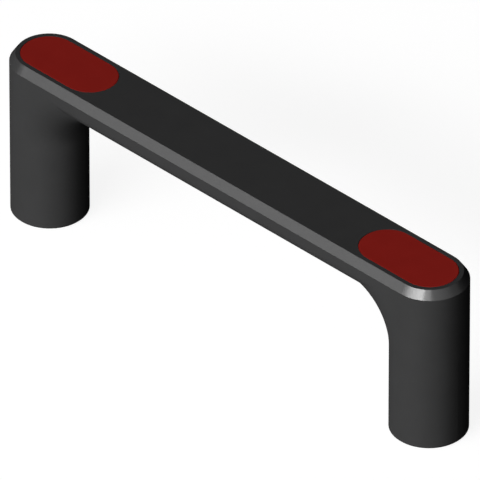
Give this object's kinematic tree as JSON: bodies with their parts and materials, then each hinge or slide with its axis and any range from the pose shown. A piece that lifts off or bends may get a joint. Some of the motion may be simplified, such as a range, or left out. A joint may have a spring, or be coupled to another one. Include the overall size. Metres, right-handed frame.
{
  "type": "pull handle",
  "caption": "Black plastic bow handle with round legs, red cover caps let into the top over each leg, and brass threaded inserts in the feet.",
  "frame": {"origin": "on the mounting surface, midway between the axes of the two legs", "axes": "+X along the bar to the right end, +Y to the back, +Z away from the mounting surface to the top face"},
  "size_m": [0.2, 0.026, 0.061],
  "materials": {
    "body_plastic": "black glass-fibre-reinforced polyamide, satin moulded surface",
    "cap_plastic": "signal-red polyamide, satin moulded surface",
    "insert_brass": "turned brass"
  },
  "bodies": {
    "root": {"handle_body": "body_plastic", "cap_left": "cap_plastic", "cap_right": "cap_plastic", "insert_left": "insert_brass", "insert_right": "insert_brass"}
  },
  "joints": []
}
